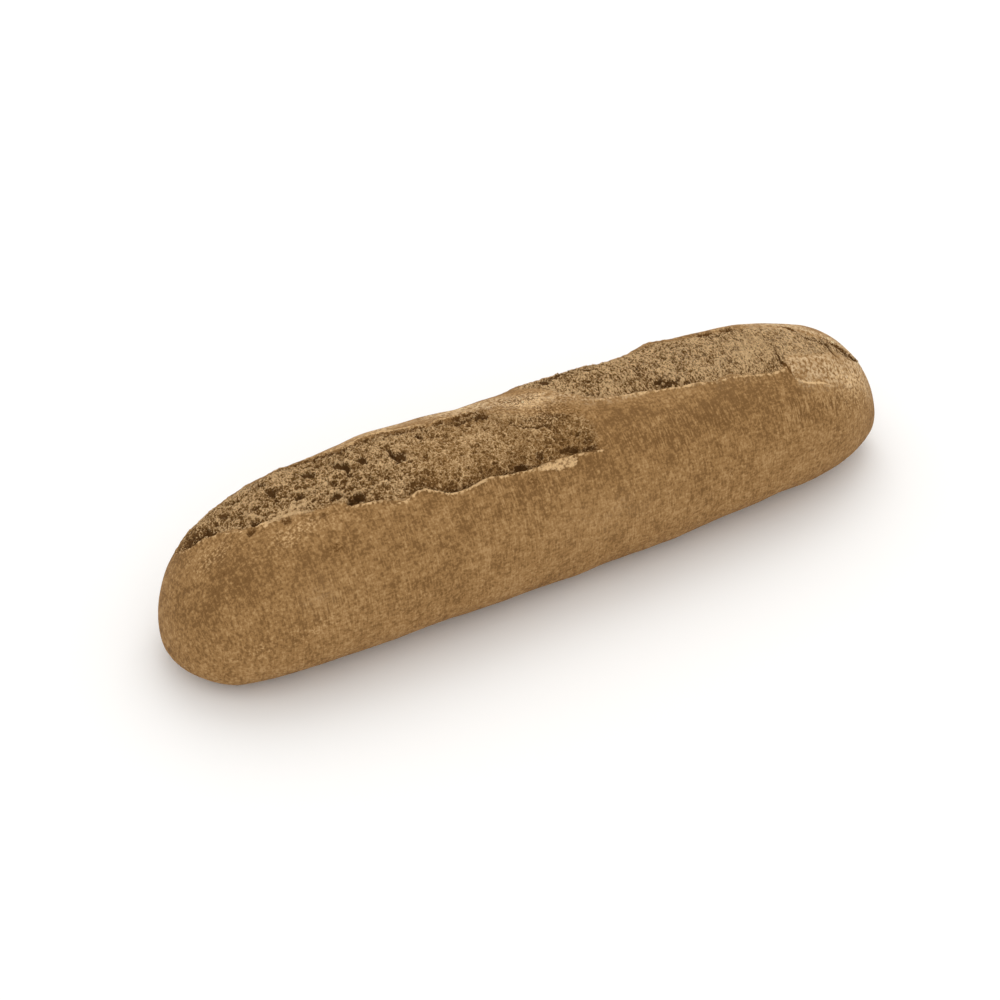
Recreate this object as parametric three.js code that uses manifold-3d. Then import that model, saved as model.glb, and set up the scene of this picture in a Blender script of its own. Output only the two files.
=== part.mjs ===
// A short baguette, baked in one piece.
//
// Units are millimetres, +Z is up. The loaf lies along X on its flat sole, with the
// blunter nose at -X, the near flank at -Y and the origin at the middle of the sole.
//
// A point on the crust is given by two numbers. "Station" runs from -1 at one nose to
// +1 at the other. "Girth" is an angle in degrees round the loaf: 0 at the crown,
// +90 at the near flank, -90 at the far flank and 180 at the middle of the sole.

import * as THREE from "three";
import { mergeVertices } from "three/addons/utils/BufferGeometryUtils.js";
import Module from "manifold-3d";

const wasm = await Module();
wasm.setup();

// Overall size of the baked loaf.
const LENGTH = 252;
const WIDTH = 65;
const HEIGHT = 52.5;

// The sole is flattened by the baking tray, which trims this much off the round.
const SOLE_TRIM = 1.2;

// How square the noses are, seen from above and from the side. 2 is an ellipse.
const NOSE_PLAN = { left: 7, right: 4.7 };
const NOSE_PROFILE = { left: 4.6, right: 6 };
const NOSE_UNDERCUT = { left: 9.5, right: 6.8 };

// The tip of each nose sits low, close to the tray.
const TIP_HEIGHT = 10;

// The section is widest below the middle of its height.
const WIDEST_AT = 0.43;
const CROWN_SQUARENESS = 2.1;
const BELLY_SQUARENESS = 2.6;

// The dough is held in at the strap between the scores and a little beyond it.
const WAISTS = [
  { station: 0.01, reach: 0.08, amount: 0.03 },
  { station: 0.37, reach: 0.07, amount: 0.015 },
  { station: 0.45, reach: 0.34, amount: 0.03 },
];

// Two long overlapping scores, each opened between a near lip and a far lip.
// Every pair is [x in mm, girth in degrees].
const FIRST_SCORE = {
  near: [[-117, -30], [-104, -8], [-82, 7], [-55, 25], [-27, 34], [-8, 36], [14, 40]],
  far: [[-117, -34], [-102, -54], [-68, -49], [-45, -32], [-20, -11], [-6, 10], [14, 36]],
};
const SECOND_SCORE = {
  near: [[4, -25], [16, 3], [40, 16], [72, 26], [88, 21], [102, 14], [116, 26]],
  far: [[4, -29], [17, -38], [42, -39], [68, -26], [93, -10], [104, 6], [116, 24]],
};

// The torn crumb lies just under the crust and drops away along both lips.
const CRUMB_SINK = 1.2;
const LIP_DROP = 3;

// A score is this deep where it runs out.
const END_DEPTH = 0.9;

// A thin ear of crust stands up along each lip.
const EAR_RADIUS = 1.0;
const EAR_RISE = 0.1;

// How far round the loaf one millimetre of crust reaches near the crown.
const DEGREES_PER_MM = 1.9;

// Mesh fineness.
const SMALLEST_DETAIL = 0.05;
const RINGS = 54;
const RING_POINTS = 46;
const SCORE_STEPS = 34;
const SCORE_ROWS = 8;
const EAR_STEPS = 34;
const EAR_SIDES = 5;

function noseTaper(station, squareness) {
  const sharpness = station < 0 ? squareness.left : squareness.right;
  return Math.sqrt(Math.max(0, 1 - Math.abs(station) ** sharpness));
}

function fullnessAt(station) {
  let fullness = 1;
  for (const { station: centre, reach, amount } of WAISTS) {
    fullness -= amount * Math.exp(-(((station - centre) / reach) ** 2));
  }
  return fullness;
}

function roundedPower(value, squareness) {
  return Math.sign(value) * Math.abs(value) ** (2 / squareness);
}

// The point on the crust at one station and girth, pushed outwards by "lift".
function crustPoint(station, girth, lift = 0) {
  const angle = THREE.MathUtils.degToRad(girth);
  const across = Math.sin(angle);
  const up = Math.cos(angle);
  const fullness = fullnessAt(station);
  const halfWidth = (WIDTH / 2) * noseTaper(station, NOSE_PLAN) * fullness;
  const rise = (HEIGHT + SOLE_TRIM - TIP_HEIGHT) * noseTaper(station, NOSE_PROFILE);
  const crown = TIP_HEIGHT + rise * fullness;
  const belly = TIP_HEIGHT * (1 - noseTaper(station, NOSE_UNDERCUT));
  const middle = belly + (crown - belly) * WIDEST_AT;
  const squareness = up > 0 ? CROWN_SQUARENESS : BELLY_SQUARENESS;
  const reach = up > 0 ? crown - middle : middle - belly;
  const y = -halfWidth * roundedPower(across, squareness);
  const z = reach * roundedPower(up, squareness);
  const stretch = 1 + lift / Math.max(4, Math.hypot(y, z));
  return new THREE.Vector3((station * LENGTH) / 2, y * stretch, middle + z * stretch - SOLE_TRIM);
}

// A closed solid made from the positions of a three.js geometry.
function solidFrom(geometry) {
  const bare = new THREE.BufferGeometry();
  bare.setAttribute("position", geometry.getAttribute("position"));
  bare.setIndex(geometry.getIndex());
  const merged = mergeVertices(bare, 1e-4);
  const vertProperties = new Float32Array(merged.getAttribute("position").array);
  const triVerts = new Uint32Array(merged.getIndex().array);
  return new wasm.Manifold(new wasm.Mesh({ numProp: 3, vertProperties, triVerts }));
}

// Moves every vertex of a geometry to the place a function gives for it.
function reshape(geometry, place) {
  const position = geometry.getAttribute("position");
  const vertex = new THREE.Vector3();
  for (let i = 0; i < position.count; i += 1) {
    vertex.fromBufferAttribute(position, i);
    const moved = place(vertex);
    position.setXYZ(i, moved.x, moved.y, moved.z);
  }
  return geometry;
}

// The whole loaf before scoring: a ball drawn out along X, its poles at the noses.
function loafRound() {
  const ball = new THREE.SphereGeometry(1, RING_POINTS, RINGS);
  ball.rotateZ(Math.PI / 2);
  return reshape(ball, (point) => {
    const girth = THREE.MathUtils.radToDeg(Math.atan2(-point.y, point.z));
    return crustPoint(THREE.MathUtils.clamp(point.x, -1, 1), girth);
  });
}

// Everything below the tray, to be cut away for a flat sole.
function tray() {
  const depth = 20;
  const slab = new THREE.BoxGeometry(LENGTH * 1.2, WIDTH * 1.6, depth);
  slab.translate(0, 0, -depth / 2);
  return slab;
}

// A smooth lip line through its control points, in x and girth.
function lipLine(points) {
  return new THREE.CatmullRomCurve3(points.map(([x, girth]) => new THREE.Vector3(x, girth, 0)));
}

// The space a score leaves: a lens between its lips, its floor the torn crumb.
function scoreOpening(score) {
  const nearLip = lipLine(score.near);
  const farLip = lipLine(score.far);
  const block = new THREE.BoxGeometry(1, 2, 1, SCORE_STEPS, SCORE_ROWS, 1);
  return reshape(block, (point) => {
    const along = point.x + 0.5;
    const across = point.y;
    const near = nearLip.getPoint(along);
    const far = farLip.getPoint(along);
    const blend = (across + 1) / 2;
    const x = THREE.MathUtils.lerp(near.x, far.x, blend);
    const girth = THREE.MathUtils.lerp(near.y, far.y, blend);
    const opened = Math.sin(Math.PI * along) ** 0.5;
    const floor = CRUMB_SINK + (LIP_DROP - CRUMB_SINK) * across ** 4;
    const lift = point.z > 0 ? 4 : -END_DEPTH - (floor - END_DEPTH) * opened;
    return crustPoint((2 * x) / LENGTH, girth, lift);
  });
}

// A ridge of lifted crust along a lip: a thin ball drawn out from one end to the other.
function ear(points) {
  const lip = lipLine(points);
  const ball = new THREE.SphereGeometry(1, EAR_SIDES, EAR_STEPS);
  ball.rotateZ(Math.PI / 2);
  return reshape(ball, (point) => {
    const along = 0.5 + 0.47 * point.x;
    const { x, y: girth } = lip.getPoint(along);
    const heading = lip.getTangent(along);
    const turn = Math.atan2(heading.y / DEGREES_PER_MM, heading.x);
    const aside = -point.y * EAR_RADIUS;
    const station = (2 * (x - aside * Math.sin(turn))) / LENGTH;
    const round = girth + aside * Math.cos(turn) * DEGREES_PER_MM;
    return crustPoint(station, round, EAR_RISE + point.z * EAR_RADIUS);
  });
}

// Back from a solid to a three.js geometry, shaded flat face by face.
function geometryFrom(solid) {
  const { vertProperties, triVerts } = solid.getMesh();
  const indexed = new THREE.BufferGeometry();
  indexed.setAttribute("position", new THREE.BufferAttribute(vertProperties, 3));
  indexed.setIndex(new THREE.BufferAttribute(triVerts, 1));
  const geometry = indexed.toNonIndexed();
  geometry.computeVertexNormals();
  return geometry;
}

// Baked crust, matt and dusted with flour.
function crustMaterial() {
  return new THREE.MeshStandardMaterial({ color: 0x957248, roughness: 0.85, metalness: 0 });
}

// The scored loaf as one solid, centred on the frame.
function loaf() {
  let solid = solidFrom(loafRound());
  for (const score of [FIRST_SCORE, SECOND_SCORE]) {
    solid = solid.add(solidFrom(ear(score.near))).add(solidFrom(ear(score.far)));
  }
  for (const score of [FIRST_SCORE, SECOND_SCORE]) {
    solid = solid.subtract(solidFrom(scoreOpening(score)));
  }
  solid = solid.subtract(solidFrom(tray()));
  const geometry = geometryFrom(solid.asOriginal().simplify(SMALLEST_DETAIL));
  geometry.computeBoundingBox();
  const middle = geometry.boundingBox.getCenter(new THREE.Vector3());
  geometry.translate(-middle.x, -middle.y, -geometry.boundingBox.min.z);
  const mesh = new THREE.Mesh(geometry, crustMaterial());
  mesh.name = "loaf";
  return mesh;
}

const baguette = new THREE.Group();
baguette.name = "baguette";
baguette.add(loaf());

export default baguette;
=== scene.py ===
"""A short scored baguette: crust, lifted lips, floury strap and torn crumb."""

import math

import bmesh
import bpy
import numpy as np
from mathutils import Matrix, Vector, noise


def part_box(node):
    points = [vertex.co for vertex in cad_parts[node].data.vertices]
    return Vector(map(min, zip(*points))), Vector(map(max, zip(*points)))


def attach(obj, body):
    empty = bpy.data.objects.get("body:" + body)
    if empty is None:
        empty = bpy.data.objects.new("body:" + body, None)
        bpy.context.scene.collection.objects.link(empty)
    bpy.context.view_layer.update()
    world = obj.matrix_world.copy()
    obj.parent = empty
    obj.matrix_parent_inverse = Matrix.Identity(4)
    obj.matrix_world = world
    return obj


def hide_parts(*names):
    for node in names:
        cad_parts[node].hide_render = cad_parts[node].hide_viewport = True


bl_info = {
    "name": "Scored baguette",
    "version": (1, 0, 0),
    "blender": (4, 5, 0),
    "location": "3D View > Sidebar > Baguette",
    "description": "Builds a short scored baguette and a plain studio round it",
    "category": "Add Mesh",
}

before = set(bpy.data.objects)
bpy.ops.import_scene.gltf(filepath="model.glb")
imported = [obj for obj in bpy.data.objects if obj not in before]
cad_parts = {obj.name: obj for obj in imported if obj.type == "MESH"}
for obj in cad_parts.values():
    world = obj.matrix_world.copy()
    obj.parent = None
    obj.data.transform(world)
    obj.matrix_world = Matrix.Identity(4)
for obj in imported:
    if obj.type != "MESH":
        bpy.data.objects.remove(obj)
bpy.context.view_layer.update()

# The shape is worked out in millimetres. A place on the crust is given by its x and its
# girth, in degrees round the loaf: 0 at the crown, +90 at the near flank, -90 at the far
# flank and 180 at the middle of the sole. Station is x as a share of half the length.
LENGTH = 252.0
WIDTH = 65.0
HEIGHT = 52.5

# The tray flattens the sole, and the tips of both noses sit low.
SOLE_TRIM = 1.2
SOLE_SOFTNESS = 0.5
TIP_HEIGHT = 10.0

# The section: its widest line as a share of its height, and how square it is above and
# below that line. 2 is an ellipse.
WIDEST_AT = 0.43
CROWN_SQUARENESS = 2.1
BELLY_SQUARENESS = 2.6

# How square the left and right noses are from above, from the side and underneath.
NOSE_PLAN = (7.0, 4.7)
NOSE_PROFILE = (4.6, 6.0)
NOSE_UNDERCUT = (9.5, 6.8)

# Where the dough is held in: station, reach and amount.
WAISTS = ((0.01, 0.08, 0.03), (0.37, 0.07, 0.015), (0.45, 0.34, 0.03))

# Degrees of girth that a millimetre of crust takes up near the crown.
DEGREES_PER_MM = 1.9

# How far from a far lip the crust is folded in layers, in mm.
PLY_REACH = 5.5

# Hollows are drawn this much wider than their listed size, to reach their soft rims.
HOLLOW_SPREAD = 1.25

# Seeds of the noise: the crust's swell and ripple, how ragged and cloudy it is, and how the
# burst cells drift.
SWELL_SEED, RIPPLE_SEED, RAGGED_SEED, CLOUDY_SEED, DRIFT_SEED = 31, 33, 51, 52, 7

# Lip lines of the two scores: x in mm, girth in degrees, how sharply the lip stands and
# how deeply the crumb falls away behind it, both from 0 to 1.
FIRST_NEAR = (
    (-114.5, -43, 0.2, 0.3), (-114.5, -33, 0.3, 0.4), (-112.5, -20, 0.4, 0.6), (-109, -14, 0.5, 0.6),
    (-105, -7, 0.5, 0.5), (-102, -1, 0.5, 0.3), (-97, 5, 0.4, 0.3), (-91, 9, 0.4, 0.2),
    (-86, 12, 0.3, 0.1), (-79, 17, 0.1, 0.1), (-72, 21, 0.2, 0.2), (-67, 22.5, 0.7, 0.7),
    (-62, 24.5, 0.7, 0.3), (-57.5, 28, 0.5, 0.2), (-54, 30, 0.7, 0.3), (-50, 27.5, 0.9, 0.5),
    (-47, 27.5, 1, 0.7), (-44, 31, 1, 0.9), (-41, 34, 0.9, 0.9), (-36, 35.5, 0.8, 0.8),
    (-30, 34, 1, 0.4), (-24, 34.5, 1, 0.6), (-17, 36, 1, 1), (-11, 36.5, 0.9, 0.8),
    (-6, 36, 0.8, 0.2), (0, 36, 0.8, 0.4), (5, 36.5, 0.8, 0.6), (8, 38, 0.6, 0.7),
    (12, 39, 0.4, 0.6),
)
FIRST_FAR = (
    (-114.5, -43, 0.2, 0.2), (-111.5, -51, 0.3, 0.1), (-106, -56, 0.3, 0.1), (-97, -56, 0.3, 0.1),
    (-88, -51, 0.4, 0.2), (-80, -43, 0.6, 0.5), (-72, -34, 0.8, 0.8), (-66, -28, 0.9, 0.6),
    (-58, -25, 0.9, 0.5), (-50, -26, 0.9, 0.6), (-45, -24.5, 0.9, 0.8), (-40, -19.5, 0.9, 0.7),
    (-35, -17, 0.8, 0.6), (-28, -16, 0.8, 0.6), (-22, -15, 0.8, 0.8), (-17, -13.5, 0.6, 0.6),
    (-13.5, -9, 0.3, 0.2), (-10, -7, 0.1, 0.1), (-4, -2, 0, 0.1), (4, 3, 0, 0.1),
    (11, 9, 0, 0.2), (14, 20, 0, 0.3), (14, 32, 0.1, 0.5), (12.5, 39, 0.2, 0.6),
)
SECOND_NEAR = (
    (1, -37, 0.1, 0.3), (4, -24, 0.1, 0.3), (8, -10, 0.1, 0.1), (12.5, 1, 0.2, 0.1),
    (18, 7.5, 0.4, 0.3), (24, 10, 0.5, 0.4), (32, 12, 0.7, 0.4), (40, 14.5, 0.8, 0.7),
    (48, 16.5, 0.9, 0.4), (54, 19, 0.9, 0.2), (58, 22, 0.7, 0.1), (63, 21.5, 0.5, 0.1),
    (68, 24, 0.6, 0.3), (72, 26.5, 0.7, 0.1), (78, 28, 0.8, 0.1), (82.5, 27.5, 0.7, 0.1),
    (83.8, 24, 0.4, 0.2), (86, 22, 0.1, 0.1), (90, 22, 0, 0), (96, 24, 0, 0),
    (101, 26, 0, 0), (106, 28, 0, 0.1), (111, 28, 0, 0.2), (116, 26, 0.2, 0.4),
)
SECOND_FAR = (
    (1, -37, 0.1, 0.3), (10, -46, 0.3, 0.5), (22, -47, 0.3, 0.5), (34, -44, 0.3, 0.3),
    (46, -41, 0.3, 0.3), (56, -38, 0.3, 0.4), (64, -31, 0.4, 0.9), (72, -25, 0.4, 0.7),
    (79, -22, 0.3, 0.6), (86, -17, 0.3, 0.3), (93, -10, 0.3, 0.3), (98, -4, 0.4, 0.2),
    (103, 3, 0.5, 0.3), (108, 9, 0.6, 0.6), (111, 16, 0.7, 0.7), (116, 24, 0.7, 0.7),
)

# Ragged hollows: x, girth, half length and half width in mm, turn in degrees, depth in mm.
HOLLOWS = (
    (-95.5, 3, 1.1, 1.2, 0, 1.3), (-98, 7, 1.2, 0.8, 0, 1.0), (-88, 12.5, 1.0, 1.2, 0, 0.9),
    (-92.5, -8, 1.1, 1.1, 0, 1.0), (-86, -13, 1.2, 2.3, 0, 1.1), (-109, -21, 2.6, 1.9, 0, 1.0),
    (-106, -16, 1.1, 3.2, 0, 1.0), (-111, -30, 1.4, 2.4, 0, 0.8), (-80.5, 1.5, 1.5, 1.1, 0, 1.0),
    (-78, 19, 0.8, 0.6, 0, 0.6), (-71.5, 11.5, 1.5, 0.9, 10, 1.1),
    (-66.5, 17.5, 2.5, 1.4, 0, 1.7), (-74, -12, 1.5, 2.0, 0, 1.2), (-64, -8.5, 1.6, 2.9, 0, 1.5),
    (-57.5, -5.5, 1.2, 1.9, 10, 1.2), (-86, -29, 1.1, 2.6, 0, 1.0), (-95, -27, 1.4, 1.8, 0, 0.9),
    (-100, -20, 1.0, 2.0, 0, 0.8), (-47.5, 1, 2.1, 1.7, 0, 1.7), (-48.5, -4, 0.6, 2.0, 0, 0.9),
    (-37.5, -9, 1.2, 1.2, 0, 1.1), (-24, -9, 2.2, 1.0, 0, 0.9), (-16.5, -8, 2.2, 1.4, 20, 0.9),
    (-48, 24, 2.4, 0.9, 0, 0.3), (-15, 33.3, 2.0, 0.9, 0, 1.0), (-8, 30, 1.2, 0.9, 0, 0.8),
    (1.5, 31, 2.6, 1.0, 4, 0.7), (8.5, 35.5, 2.6, 1.0, 6, 0.65), (9, 30, 1.5, 1.2, 0, 0.55),
    (4, 33.5, 1.2, 0.7, 0, 0.9), (42, 6.5, 1.8, 1.0, -10, 1.0), (45, 10, 2.8, 0.9, 0, 0.8),
    (12, -27, 1.8, 2.6, 0, 0.9), (18, -33, 3.5, 2.4, 0, 1.0), (26, -25, 1.0, 2.4, 0, 0.8),
    (68, -25, 3.8, 0.9, 4, 1.2), (71.5, -17, 2.8, 0.8, 0, 0.8), (78, -21, 0.9, 1.6, 0, 0.9),
    (41, 19, 0.8, 0.6, 0, 0.3), (44, 20.5, 0.9, 0.5, 0, 0.3), (104.5, 13, 1.3, 1.6, -20, 0.8),
)

# Threads of dough and creases: the places along one, its half width and lift in mm, and the
# mark that shows it. The creases are darkened with painted shade.
THREADS = (
    (((-96, -13), (-95.5, -6), (-94, -1), (-91.5, 4)), 0.45, 0.35, "edge"),
    (((-95, -8), (-92.5, -13), (-90.5, -10)), 0.35, 0.25, "edge"),
    (((-95, 9), (-92, 8), (-88.5, 8), (-87, 10)), 0.4, 0.3, "edge"),
    (((-75.5, -17), (-73, -19), (-71, -16), (-70, -11)), 0.4, 0.25, "edge"),
    (((-67, -15), (-63, -13.5), (-61, -9), (-62, -4)), 0.4, 0.3, "edge"),
    (((-83, -4), (-80, -3), (-77, -1), (-75, 2)), 0.35, 0.2, "edge"),
    (((-72, 8), (-69.5, 10), (-69, 14)), 0.35, 0.25, "edge"),
    (((19.5, 7), (23, 2.5), (26.5, -1.5)), 0.32, 0.5, "edge"),
    (((30.5, 1), (33, -3), (35.5, -7.5)), 0.25, 0.2, "edge"),
    (((53.5, -23), (54, -19), (54.5, -14)), 0.5, 0.25, "edge"),
    (((-12, 3), (-8, 9), (-4, 12), (1, 11.5)), 0.35, -0.3, "hollow_shade_and_toast"),
    (((-121, -6), (-118.5, 5), (-116, 12), (-112, 18), (-106, 23)), 0.8, -0.45, "toast_and_shade"),
    (((84.5, 8), (83.4, 17), (83.6, 27), (84.6, 36)), 0.4, -0.3, "hollow_shade_and_toast"),
    (((84, 36), (89, 41), (94, 43.5), (99, 49)), 0.35, 0.15, "edge"),
    (((105, 8), (108, 11), (110, 16.5), (113, 22), (118, 23)), 0.35, -0.4, "hollow_shade_and_toast"),
    (((93.5, -12), (96, -6), (98, -1)), 0.4, -0.3, "hollow_shade_and_toast"),
    (((97.5, 2), (99.5, 8), (102, 9.5)), 0.35, -0.25, "hollow_shade_and_toast"),
    (((101, 7), (104, 13), (104, 20), (105, 26)), 0.45, -0.3, "hollow_shade_and_toast"),
    (((-66, -29), (-55, -29), (-46, -27), (-38, -20), (-28, -18)), 0.5, 0.25, "edge"),
    (((-97, 4), (-93, 6.5), (-89, 7.5), (-84, 11), (-79, 14)), 0.45, 0.3, "edge"),
)

# Swells and dents of the whole crust: x, girth, reach along in mm, reach round in degrees, lift.
SWELLS = (
    (-48, -42, 10, 14, 1.0), (-16, -40, 7, 14, -1.2), (5, -42, 5, 12, 0.7), (37, -39, 6, 12, -0.6),
    (53, -42, 6, 12, 1.6), (65, -40, 8, 12, 0.4), (98, -30, 9, 14, -0.9), (120, 30, 6, 40, -0.7),
    (-114, 131, 6, 20, 0.9), (-86, 127, 16, 20, -0.9), (-45, 127, 18, 20, -0.65),
    (0, 127, 7, 18, 0.8), (58, 127, 12, 18, -0.8), (76, 127, 11, 18, -1.4), (121, 98, 5, 20, 0.6),
)

# Soft patches of a mark: the mark, x, girth, reach along and round the loaf in mm, and amount.
PATCHES = (
    ("flour", -90, -40, 16, 5, 0.5), ("flour", -42, -34, 16, 4, 0.5), ("flour", 62, -2, 26, 13, 0.5),
    ("flour", -18, -22, 8, 5, 0.9), ("flour", 8, 78, 20, 10, 0.15), ("flour", 48, -50, 40, 5, 0.5),
    ("flour", -88, 60, 8, 6, 0.2),
    # The first edge patch, on the upper facet of the left nose, is a painted highlight.
    ("edge", -108, 2, 7, 5, 0.3), ("edge", -86, 21, 16, 4, 0.27), ("edge", -107, 81, 4, 3, 0.2),
    ("edge", -92, 80, 10, 4, 0.15), ("edge", 0, -9, 12, 8, 0.56), ("edge", -60, -38, 30, 4, 0.44),
    ("edge", -18, -28, 18, 4, 0.36), ("edge", 60, -46, 30, 4, 0.38), ("edge", 78, 4, 16, 12, 0.52),
    ("edge", 108, 50, 13, 11, 0.4),
    # Toast patches on the lower side of the left nose and beside the first score's near lip are
    # painted shade; the others are darker baking.
    ("toast_and_shade", -112, 10, 8, 7, 0.5), ("toast_and_shade", -112, 30, 9, 11, 1.1), ("toast_and_shade", -103, 47, 7, 7, 0.7),
    ("toast_and_shade", -78, 42, 12, 4, 0.6), ("toast_and_shade", -62, 50, 10, 4, 0.5), ("toast_and_shade", 24, 24, 18, 5, 0.9),
    ("toast_and_shade", 5, 26, 8, 5, 0.8), ("toast_and_shade", 0, 44, 90, 8, 0.5), ("toast_and_shade", 60, 38, 32, 9, 0.9),
    ("toast_and_shade", -97, 27, 9, 5, 0.6), ("toast_and_shade", 8, 12, 8, 4, 0.4), ("toast_and_shade", -110, -30, 8, 9, 0.6),
    ("toast_and_shade", -47, 26, 7, 3.5, 0.8), ("toast_and_shade", -34, 28, 7, 3, 0.8), ("toast_and_shade", 18, -30, 9, 5, 0.5),
    ("toast_and_shade", 4, 29, 8, 3.5, 1.0), ("toast_and_shade", 17, 36, 4, 3, 0.6), ("toast_and_shade", -110, 68, 13, 10, 0.4),
    ("toast_and_shade", -114, 52, 9, 8, 0.35),
    # Hollow patches are painted shade, in dark pockets and pinholes.
    ("hollow_shade_and_toast", -4, -14, 14, 6, 0.4), ("hollow_shade_and_toast", 5, 4, 12, 6, 0.5), ("hollow_shade_and_toast", -62, -42, 26, 4, 0.4),
    ("hollow_shade_and_toast", -18, -36, 18, 4, 0.42), ("hollow_shade_and_toast", 60, -46, 30, 4, 0.36),
    ("hollow_shade_and_toast", -79, 40, 3, 2, 0.45), ("hollow_shade_and_toast", -13.5, 43.5, 2.2, 1.6, 0.6),
    ("hollow_shade_and_toast", 53.5, 78, 1.6, 0.9, 0.5), ("hollow_shade_and_toast", -62, 53, 0.7, 0.7, 0.7),
    ("hollow_shade_and_toast", -62, 59, 0.7, 0.7, 0.6), ("hollow_shade_and_toast", -95, 62, 0.9, 0.8, 0.5),
    ("hollow_shade_and_toast", -77, 79, 0.8, 0.7, 0.5), ("hollow_shade_and_toast", -115, 74, 0.8, 0.8, 0.5),
    ("hollow_shade_and_toast", 17, 74, 0.9, 0.8, 0.5), ("hollow_shade_and_toast", 23, 90, 0.7, 0.7, 0.6),
    ("hollow_shade_and_toast", -109.5, 20, 0.7, 0.7, 0.8), ("hollow_shade_and_toast", 37, 35, 0.6, 0.6, 0.7),
    ("comb", 100, 58, 9, 6, 1.0), ("comb", 82, 54, 9, 6, 0.7), ("comb", 40, 40, 30, 8, 0.5),
    ("comb", -20, 50, 25, 8, 0.4), ("comb", -85, 66, 12, 8, 0.5), ("comb", 20, 90, 25, 8, 0.3),
)

# Flour lies along the strap between the scores and along the rim at the right end. The flap is
# a scrap of bare dough below the first score. Each place is an x and a girth.
STRAP_LINE = ((-24, -30), (-12, -22), (0, -12), (9, -6), (16, 4), (24, 11), (34, 13))
RIM_LINE = ((88, -24), (98, -10), (105, 1), (111, 11), (117, 19))
FLAP_OUTLINE = (
    (-11, 37), (-8.5, 35.5), (-3, 36), (3.5, 37.5), (2, 41.5), (-3, 41.5), (-11, 39),
)

# The camera's turn from -Y towards -X and its rise, in degrees, its distance from the loaf's
# middle, and how far it looks to the left of the middle and below it, in metres.
CAMERA_TURN = 29.5
CAMERA_RISE = 38
CAMERA_DISTANCE = 0.8
LOAF_MIDDLE = (0, 0, 0.0234)
AIM_LEFT = 0.0109
AIM_BELOW = 0.0053

# Soft lights: name, place and size in metres, and share of the main light's power.
LIGHTS = (
    ("key_light", (0.35, 0.45, 0.9), 0.8, 1.0), ("front_fill", (-0.5, -0.8, 0.5), 0.9, 0.55),
)
FLOOR_REACH = 6

OPERATORS = []
GROUPS = {}


def piece_operator(cls):
    """Lists an operator class for registering and for the panel."""
    OPERATORS.append(cls)
    return cls


def rounded_power(value, squareness):
    return np.sign(value) * np.abs(value) ** (2.0 / squareness)


def nose_taper(station, squareness):
    sharpness = np.where(station < 0, squareness[0], squareness[1])
    return np.sqrt(np.clip(1 - np.abs(station) ** sharpness, 0, 1))


def fullness_at(station):
    fullness = np.ones_like(station)
    for centre, reach, amount in WAISTS:
        fullness -= amount * np.exp(-(((station - centre) / reach) ** 2))
    return fullness


def crust_point(station, girth, lift):
    """Points in mm on the loaf, pushed outwards by lift."""
    angle = np.radians(girth)
    across, up = np.sin(angle), np.cos(angle)
    fullness = fullness_at(station)
    half_width = WIDTH / 2 * nose_taper(station, NOSE_PLAN) * fullness
    rise = (HEIGHT + SOLE_TRIM - TIP_HEIGHT) * nose_taper(station, NOSE_PROFILE)
    crown = TIP_HEIGHT + rise * fullness
    belly = TIP_HEIGHT * (1 - nose_taper(station, NOSE_UNDERCUT))
    middle = belly + (crown - belly) * WIDEST_AT
    squareness = np.where(up > 0, CROWN_SQUARENESS, BELLY_SQUARENESS)
    reach = np.where(up > 0, crown - middle, middle - belly)
    y = -half_width * rounded_power(across, squareness)
    z = reach * rounded_power(up, squareness)
    stretch = 1 + lift / np.maximum(4, np.hypot(y, z))
    z = middle + z * stretch - SOLE_TRIM
    z = 0.5 * (z + np.sqrt(z * z + SOLE_SOFTNESS**2))
    return np.stack([station * LENGTH / 2, y * stretch, z], axis=1)


def smooth_line(points, steps):
    """A Catmull-Rom line through places, with the given steps between two of them."""
    p = np.array(points, dtype=float)
    p = np.vstack([2 * p[0] - p[1], p, 2 * p[-1] - p[-2]])
    t = np.linspace(0, 1, steps, endpoint=False)[:, None]
    line = []
    for a, b, c, d in zip(p, p[1:], p[2:], p[3:]):
        line.append(
            0.5 * (2 * b + (c - a) * t + (2 * a - 5 * b + 4 * c - d) * t**2
                   + (3 * b - a - 3 * c + d) * t**3)
        )
    line.append(p[-2][None])
    return np.vstack(line)


def unrolled(points):
    """Crust positions laid flat, in mm: along the loaf and round it."""
    flat = np.array(points, dtype=float)
    flat[:, 1] /= DEGREES_PER_MM
    return flat


def distance_to(line, spots):
    """Distance in mm from each spot to a line, and which point of the line is nearest."""
    best = np.full(len(spots), 1e9)
    along = np.zeros(len(spots))
    for i, (a, b) in enumerate(zip(line, line[1:])):
        run = b - a
        t = np.clip(((spots - a) @ run) / max(run @ run, 1e-9), 0, 1)
        gap = np.hypot(*(spots - a - t[:, None] * run).T)
        nearer = gap < best
        best[nearer] = gap[nearer]
        along[nearer] = i + t[nearer]
    return best, along


def inside_of(outline, spots):
    inside = np.zeros(len(spots), dtype=bool)
    x, v = spots.T
    for (ax, av), (bx, bv) in zip(outline, np.roll(outline, -1, axis=0)):
        crosses = (av > v) != (bv > v)
        level = bv - av if bv != av else 1e-9
        inside ^= crosses & (x < (bx - ax) * (v - av) / level + ax)
    return inside


def fractal(spots, size, octaves, seed):
    """Soft noise, about -1 to 1, with features of the given size in mm."""
    offset = Vector((seed * 17.3, seed * 5.1, seed * 9.7))
    values = (
        noise.fractal(Vector(spot) / size + offset, 0.9, 2.0, octaves) for spot in spots
    )
    return np.fromiter(values, dtype=float, count=len(spots))


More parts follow.
